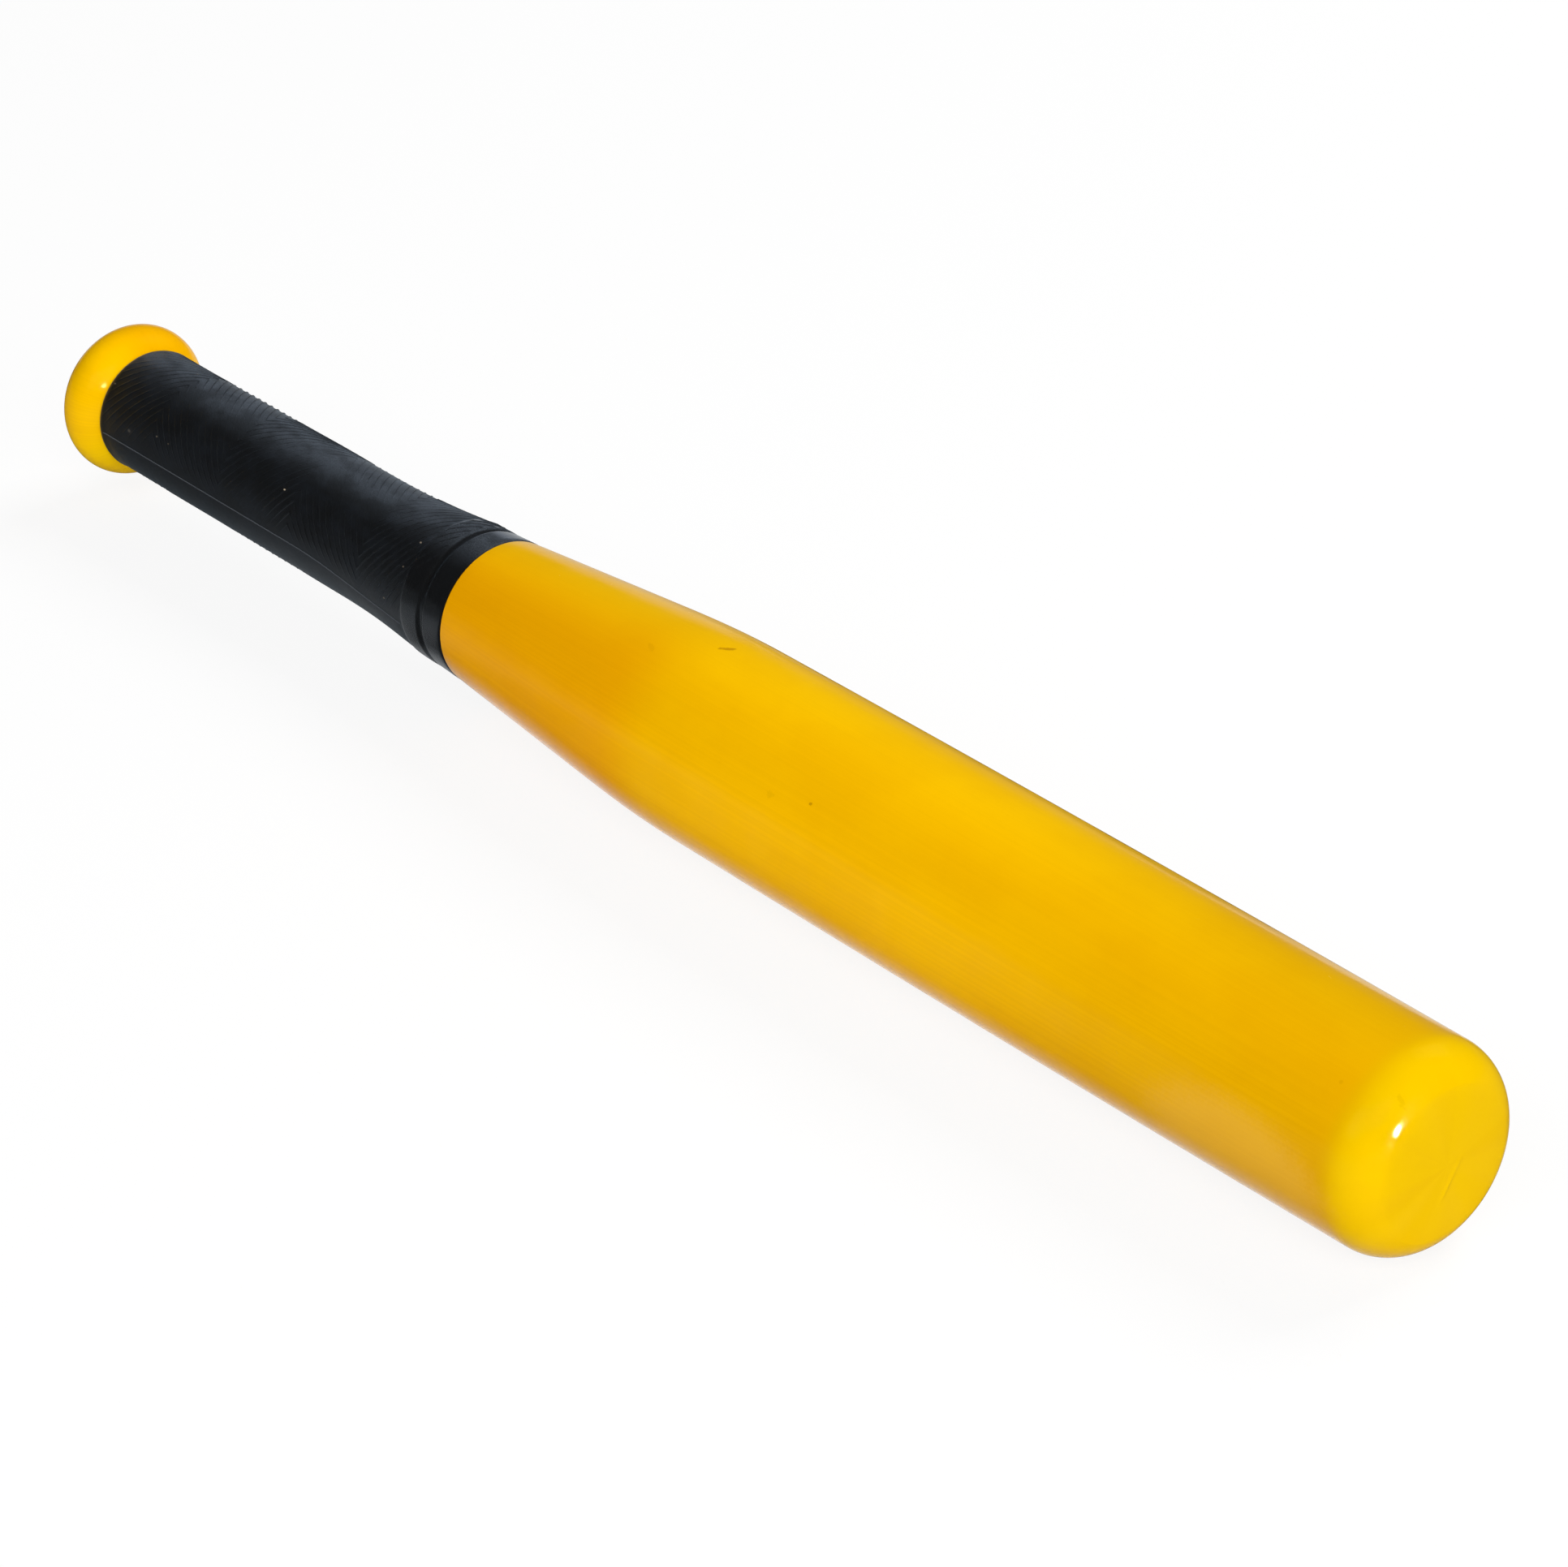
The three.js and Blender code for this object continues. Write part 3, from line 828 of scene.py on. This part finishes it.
def yellow_body():
    """Glossy yellow plastic, faintly cloudy, with lengthwise lines from the mould, hair scratches,
    dark and pale specks, a painted reflection low near the end, and a few scuffs. Its yellow
    changes by place with painted light and shade. The closed end is the glossiest."""
    material, tree, shader = new_material("glossy_yellow_plastic")
    around = use(tree, AROUND)
    colour = body_tone_and_painted_light(tree, around)
    cloud = noise(tree, around["Drum"], 0.045, 3.0, stretch=1.6)
    colour = shaded(tree, colour, (0.6, 0.3, 0.3, 1), climb(tree, cloud, 0.4, 0.65), 0.07)
    lines = moulding_lines(tree, around)
    colour = shaded(tree, colour, (0.6, 0.45, 0.4, 1), climb(tree, lines, -0.15, 0.15), 0.09)
    scratches = use(tree, SCRATCHES, Share=0.35)["Mask"]
    colour = shaded(tree, colour, (0.6, 0.5, 0.4, 1), scratches, 0.12)
    dark = use(tree, SPECKS, Spacing=16.0, Size=0.22, Share=0.3)["Mask"]
    colour = shaded(tree, colour, (0.55, 0.4, 0.3, 1), dark, 0.5)
    pale = use(tree, SPECKS, Spacing=23.0, Size=0.3, Share=0.2)["Mask"]
    colour = mixed(tree, times(tree, pale, 0.5), colour, PALE_YELLOW)
    # A painted reflection: a pale patch low near the end.
    painted_reflection = use(tree, MARK, Station=424.0, Angle=106.0, Length=50.0, Width=22.0, Ragged=0.1)["Mask"]
    colour = mixed(tree, times(tree, painted_reflection, 0.5), colour, PAINTED_REFLECTION_YELLOW)
    worn = scratches
    for place, angle, length, width, turn, strength in SCUFFS:
        mask = use(tree, MARK, Station=place, Angle=angle, Length=length, Width=width, Turn=turn)["Mask"]
        colour = shaded(tree, colour, (0.45, 0.3, 0.15, 1), mask, strength)
        worn = calc(tree, "MAXIMUM", worn, times(tree, mask, strength))
    connect(tree, colour, shader["Base Color"])
    smudge = noise(tree, around["Drum"], 0.09, 4.0)
    roughness = climb(tree, smudge, 0.35, 0.7, 0.12, 0.2)
    roughness = times(tree, roughness, climb(tree, around["Station"], *CLOSED_END_FADES_IN, 1.0, 0.8))
    connect(tree, calc(tree, "MULTIPLY_ADD", worn, 0.2, roughness), shader["Roughness"])
    shader["IOR"].default_value = PLASTIC_IOR
    shader["Specular Tint"].default_value = PLASTIC_SPECULAR_TINT
    height = use(tree, WAVINESS, Height=0.07, Stretch=3.0)["Height"]
    height = plus(tree, height, use(tree, GRAIN, Size=0.5, Height=0.0016)["Height"])
    height = calc(tree, "MULTIPLY_ADD", lines, 0.004, height)
    height = calc(tree, "MULTIPLY_ADD", worn, -0.004, height)
    connect(tree, relief(tree, height), shader["Normal"])
    return material


def yellow_plug():
    """The plug's plastic: the body's yellow a shade duller, semi-gloss with a spark-eroded grain."""
    material, tree, shader = new_material("semi_gloss_plug_plastic")
    around = use(tree, AROUND)
    grain = use(tree, GRAIN, Size=0.35, Height=0.006)
    scratches = use(tree, SCRATCHES, Share=0.6)["Mask"]
    colour = mixed(tree, climb(tree, grain["Tone"], 0.35, 0.65), (0.84, 0.4, 0.0, 1), (0.87, 0.43, 0.0, 1))
    colour = shaded(tree, colour, (0.6, 0.5, 0.4, 1), scratches, 0.2)
    dirt = noise(tree, around["Drum"], 0.2, 4.0)
    colour = shaded(tree, colour, (0.75, 0.6, 0.5, 1), climb(tree, dirt, 0.5, 0.75), 0.25)
    connect(tree, colour, shader["Base Color"])
    connect(tree, climb(tree, dirt, 0.35, 0.7, 0.26, 0.4), shader["Roughness"])
    shader["IOR"].default_value = PLASTIC_IOR
    shader["Specular Tint"].default_value = PLASTIC_SPECULAR_TINT
    connect(tree, relief(tree, grain["Height"]), shader["Normal"])
    return material


# The rubber's tones.
CLEAN_RUBBER = (0.006, 0.006, 0.006, 1)
FILMY_RUBBER = (0.0105, 0.0125, 0.016, 1)
# Partly dust and partly painted sheen, on the upper side.
DUST_AND_SHEEN = (0.14, 0.165, 0.2, 1)
PALE_FLASH = (0.11, 0.12, 0.135, 1)
LINT = (0.09, 0.1, 0.11, 1)
CRUMB = (0.42, 0.34, 0.24, 1)
DUST_AND_SHEEN_MIDDLE = -0.25
GROOVE_MIDDLE = (BAND_END + GROOVE_END) / 2

# Pale crumbs caught on the sleeve: station, angle, size in mm and strength.
CRUMBS = [
    (88.6, 51.3, 0.75, 1.0), (33.1, -9.9, 0.8, 0.5), (17.0, 45.9, 0.6, 0.3), (38.9, 68.8, 0.55, 0.35),
    (43.8, 69.3, 0.5, 0.3), (28.0, 78.1, 1.3, 0.12), (138.6, 32.9, 0.7, 0.5), (138.1, 56.2, 0.5, 0.35),
    (133.5, 88.9, 0.6, 0.3),
]


def rubber_film(tree, rib, plain, cloud, tone):
    """How much of a greyish film lies on the rubber: cloudy and grainy, the most in the valleys
    between the ribs, and little on the plain band and collar."""
    film = calc(tree, "MULTIPLY_ADD", climb(tree, tone, 0.4, 0.7), 0.6, climb(tree, cloud, 0.38, 0.68))
    film = times(tree, film, climb(tree, rib, 0.0, 0.9, 0.85, 0.3))
    return times(tree, film, minus(tree, 1.0, times(tree, plain, 0.8)))


def rubber_dust_and_sheen(tree, around, rib, cloud, tone):
    """How much pale, bluish colour lies on the upper side, partly dust and partly painted sheen:
    patchy and grainy, little on the ribs' crests and next to none in the groove."""
    from_middle = calc(tree, "ABSOLUTE", minus(tree, around["Angle"], DUST_AND_SHEEN_MIDDLE))
    off_groove = calc(tree, "ABSOLUTE", minus(tree, around["Station"], GROOVE_MIDDLE))
    return times(
        tree,
        climb(tree, from_middle, 0.1, 0.95, 0.32, 0.0),
        climb(tree, rib, 0.0, 0.9, 1.0, 0.25),
        climb(tree, cloud, 0.38, 0.62, 0.7, 1.2),
        climb(tree, tone, 0.35, 0.65, 0.6, 1.4),
        climb(tree, off_groove, 0.6, 1.1, 0.1, 1.0),
    )


def black_rubber():
    """Black rubber with a film on it, and pale patches on its upper side that are partly dust and
    partly painted sheen, paler along the flash lines, with lint and crumbs. The band and collar are
    smoother and blacker than the grip."""
    material, tree, shader = new_material("black_grip_rubber")
    around = use(tree, AROUND)
    rib = add(tree, "ShaderNodeAttribute", attribute_name="rib").outputs["Fac"]
    plain = climb(tree, around["Station"], BAND_START - 0.6, BAND_START)
    grain = use(tree, GRAIN, Size=0.22, Height=0.02)
    cloud = noise(tree, around["Drum"], 0.12, 5.0)
    film = rubber_film(tree, rib, plain, cloud, grain["Tone"])
    colour = mixed(tree, times(tree, film, 0.6), CLEAN_RUBBER, FILMY_RUBBER)
    # Pale bluish patches on the upper side: partly dust, partly painted sheen.
    colour = mixed(tree, rubber_dust_and_sheen(tree, around, rib, cloud, grain["Tone"]), colour, DUST_AND_SHEEN)
    # The flash lines are made paler.
    flash = climb(tree, rib, FLASH_MARK, FLASH_MARK / 2, 0.7, 0.0)
    colour = mixed(tree, flash, colour, PALE_FLASH)
    lint = use(tree, SPECKS, Spacing=4.0, Size=0.16, Share=0.22)["Mask"]
    colour = mixed(tree, times(tree, lint, 0.45), colour, LINT)
    for place, angle, size, strength in CRUMBS:
        mask = use(tree, MARK, Station=place, Angle=angle, Length=size, Width=size * 0.8, Ragged=0.25)["Mask"]
        colour = mixed(tree, times(tree, mask, strength), colour, CRUMB)
    connect(tree, colour, shader["Base Color"])
    roughness = climb(tree, cloud, 0.3, 0.7, 0.46, 0.56)
    connect(tree, calc(tree, "MULTIPLY_ADD", plain, -0.3, roughness), shader["Roughness"])
    shader["IOR"].default_value = 1.75
    shader["Specular Tint"].default_value = (0.7, 0.85, 1.0, 1)
    shader["Sheen Weight"].default_value = 0.085
    shader["Sheen Roughness"].default_value = 0.35
    shader["Sheen Tint"].default_value = (0.6, 0.8, 1.0, 1)
    height = times(tree, grain["Height"], minus(tree, 1.0, times(tree, plain, 0.85)))
    height = plus(tree, height, use(tree, WAVINESS, Height=0.05, Stretch=1.5)["Height"])
    connect(tree, relief(tree, height), shader["Normal"])
    return material


# Floor, light and camera. Lengths are in metres here, apart from the lens and its sensor.
LENS = 139.75
SENSOR = 36
CAMERA_AZIMUTH = 50.34
CAMERA_ELEVATION = 29.04
CAMERA_DISTANCE = 1.3046
CAMERA_AIM = Vector((0.0396, -0.01, 0.0315))
BAT_MIDDLE = Vector((0.02, 0, 0.024))
END_EDGE = Vector((0.226, -0.012, 0.036))
KNOB_EDGE = Vector((-0.215, -0.012, 0.036))
LAMP_DISTANCE = 2
FLOOR_REACH = 6.0

# Soft lamps: name, azimuth and elevation in degrees, and power in watts.
SOFT_LIGHTS = [
    ("end_light", 90, 15, 17.5),
    ("front_light", 50, 40, 19.5),
    ("left_light", 10, 35, 14.2),
    ("right_light", 180, 35, 6.4),
    ("back_light", 180, 50, 25),
]


def direction(azimuth, elevation):
    """Unit vector towards a compass direction and a height, both in degrees. Azimuth 0 is -Y."""
    a, e = math.radians(azimuth), math.radians(elevation)
    return Vector((math.sin(a) * math.cos(e), -math.cos(a) * math.cos(e), math.sin(e)))


def camera():
    """Looks at the bat from its barrel end, at the photograph's angle."""
    data = bpy.data.cameras.new("camera")
    data.lens, data.sensor_width = LENS, SENSOR
    data.clip_start, data.clip_end = 0.05, 50
    back = direction(CAMERA_AZIMUTH, CAMERA_ELEVATION)
    eye = bpy.data.objects.new("camera", data)
    bpy.context.scene.collection.objects.link(eye)
    eye.location = CAMERA_AIM + back * CAMERA_DISTANCE
    eye.rotation_mode = "QUATERNION"
    eye.rotation_quaternion = (-back).to_track_quat("-Z", "Y")
    bpy.context.scene.camera = eye


def soft_light(name, azimuth, elevation, power, target=BAT_MIDDLE, width=1.0, height=1.0):
    """A lamp that faces its target from LAMP_DISTANCE away. It isn't mirrored in gloss."""
    data = bpy.data.lights.new(name, "AREA")
    data.shape, data.size, data.size_y, data.energy = "RECTANGLE", width, height, power
    lamp = bpy.data.objects.new(name, data)
    bpy.context.scene.collection.objects.link(lamp)
    away = direction(azimuth, elevation)
    lamp.location = target + away * LAMP_DISTANCE
    lamp.rotation_mode = "QUATERNION"
    lamp.rotation_quaternion = (-away).to_track_quat("-Z", "Y")
    lamp.visible_camera = False
    lamp.visible_glossy = False
    return lamp


def glint(name, piece, azimuth, elevation, power, target, width, height):
    """A small lamp with a narrow beam that only makes a highlight, and on one piece only."""
    lamp = soft_light(name, azimuth, elevation, power, target, width, height)
    lamp.data.spread = math.radians(5)
    lamp.visible_glossy = True
    lamp.visible_diffuse = False
    lit = bpy.data.collections.new(name)
    lit.objects.link(piece)
    lamp.light_linking.receiver_collection = lit


def mirrored_floor(tree):
    """How bright the floor is to gloss: a strip right under the barrel, slanting patches beyond
    the bat, and a dim band across the whole floor at the grip."""
    place = add(tree, "ShaderNodeTexCoord").outputs["Object"]
    along, across, _ = add(tree, "ShaderNodeSeparateXYZ", {0: place}).outputs
    strip = times(
        tree,
        climb(tree, across, -0.03, -0.008),
        climb(tree, along, -0.12, -0.06, 0.08, 1.0),
        climb(tree, across, 0.0, 0.03, 1.0, 0.0),
        climb(tree, along, 0.21, 0.235, 1.0, 0.0),
    )
    slant = calc(tree, "MULTIPLY_ADD", across, 0.9, minus(tree, along, 0.126))
    at_end = times(tree, climb(tree, slant, 0.03, 0.11, 0.0, 0.8), climb(tree, slant, 0.115, 0.145, 1.0, 0.0))
    patches = calc(tree, "MAXIMUM", climb(tree, slant, -0.2, -0.1, 0.55, 0.0), at_end)
    patches = times(tree, patches, climb(tree, across, 0.02, 0.05))
    band = climb(tree, along, -0.2, -0.13, 0.3, 1.0)
    band = times(tree, band, climb(tree, along, -0.12, -0.09, 0.28, 0.05))
    return calc(tree, "MAXIMUM", calc(tree, "MAXIMUM", strip, patches), band)


def floor():
    """A pale floor. The camera sees it nearly as white as the wall, with a faint shadow. Gloss
    mirrors only some bright places on it."""
    mesh = bpy.data.meshes.new("floor")
    corners = [(-1, -1), (1, -1), (1, 1), (-1, 1)]
    mesh.from_pydata([(x * FLOOR_REACH, y * FLOOR_REACH, 0) for x, y in corners], [], [(0, 1, 2, 3)])
    ground = bpy.data.objects.new("floor", mesh)
    bpy.context.scene.collection.objects.link(ground)
    pale, tree, shader = new_material("pale_floor")
    shader["Base Color"].default_value = (0.9, 0.9, 0.9, 1)
    shader["Roughness"].default_value = 1.0
    shader["Specular IOR Level"].default_value = 0.0
    path = add(tree, "ShaderNodeLightPath").outputs
    strength = times(tree, path["Is Glossy Ray"], mirrored_floor(tree))
    strength = calc(tree, "MAXIMUM", strength, path["Is Camera Ray"])
    white = add(tree, "ShaderNodeEmission", {"Strength": strength}).outputs[0]
    seen = calc(tree, "MAXIMUM", times(tree, path["Is Camera Ray"], 0.88), path["Is Glossy Ray"])
    blend = add(tree, "ShaderNodeMixShader", {0: seen, 1: tree.nodes["Principled BSDF"].outputs[0], 2: white})
    tree.links.new(blend.outputs[0], tree.nodes["Material Output"].inputs["Surface"])
    mesh.materials.append(pale)


def surroundings():
    """The wall: white to the camera. Gloss mirrors a dim room instead, with a faint glow beyond
    the bat, opposite the camera, and a brighter card low down beyond the knob."""
    world = bpy.data.worlds.new("studio")
    bpy.context.scene.world = world
    world.use_nodes = True
    tree = world.node_tree
    way = add(tree, "ShaderNodeTexCoord").outputs["Generated"]
    along, beyond, height = add(tree, "ShaderNodeSeparateXYZ", {0: way}).outputs
    opposite = {0: way, 1: tuple(direction(-130, 29))}
    facing = add(tree, "ShaderNodeVectorMath", opposite, operation="DOT_PRODUCT").outputs["Value"]
    glow = times(tree, climb(tree, facing, 0.55, 1.0), climb(tree, height, 0.05, 0.2, 0.1, 0.03))
    card = times(
        tree,
        climb(tree, along, -0.715, -0.685, 1.0, 0.0),
        climb(tree, height, 0.08, 0.22, 0.45, 0.0),
        climb(tree, beyond, 0.3, 0.5),
    )
    glow = plus(tree, calc(tree, "MAXIMUM", glow, card), 0.01)
    path = add(tree, "ShaderNodeLightPath").outputs
    strength = calc(tree, "MAXIMUM", times(tree, glow, path["Is Glossy Ray"]), path["Is Camera Ray"])
    background = tree.nodes["Background"].inputs
    tint = mixed(tree, path["Is Camera Ray"], (0.94, 0.98, 1.1, 1), (1, 1, 1, 1))
    connect(tree, tint, background["Color"])
    connect(tree, strength, background["Strength"])


def studio(body):
    """A pale floor, soft lamps all round, the strongest behind the bat, and two small lamps whose
    highlights show on the barrel's end and on the knob."""
    floor()
    surroundings()
    for light in SOFT_LIGHTS:
        soft_light(*light)
    glint("end_glint", body, 86, 8, 0.4, END_EDGE, 0.16, 0.24)
    glint("knob_glint", body, 58, 20, 0.06, KNOB_EDGE, 0.08, 0.4)


bpy.context.scene.view_settings.view_transform = "Standard"
camera()
shell = placed("bat_shell", body_piece(), yellow_body(), "bat_body")
placed("ribbed_sleeve", sleeve_piece(), black_rubber(), "grip_sleeve")
placed("plug_cap", plug_piece(), yellow_plug(), "butt_plug")
studio(shell)
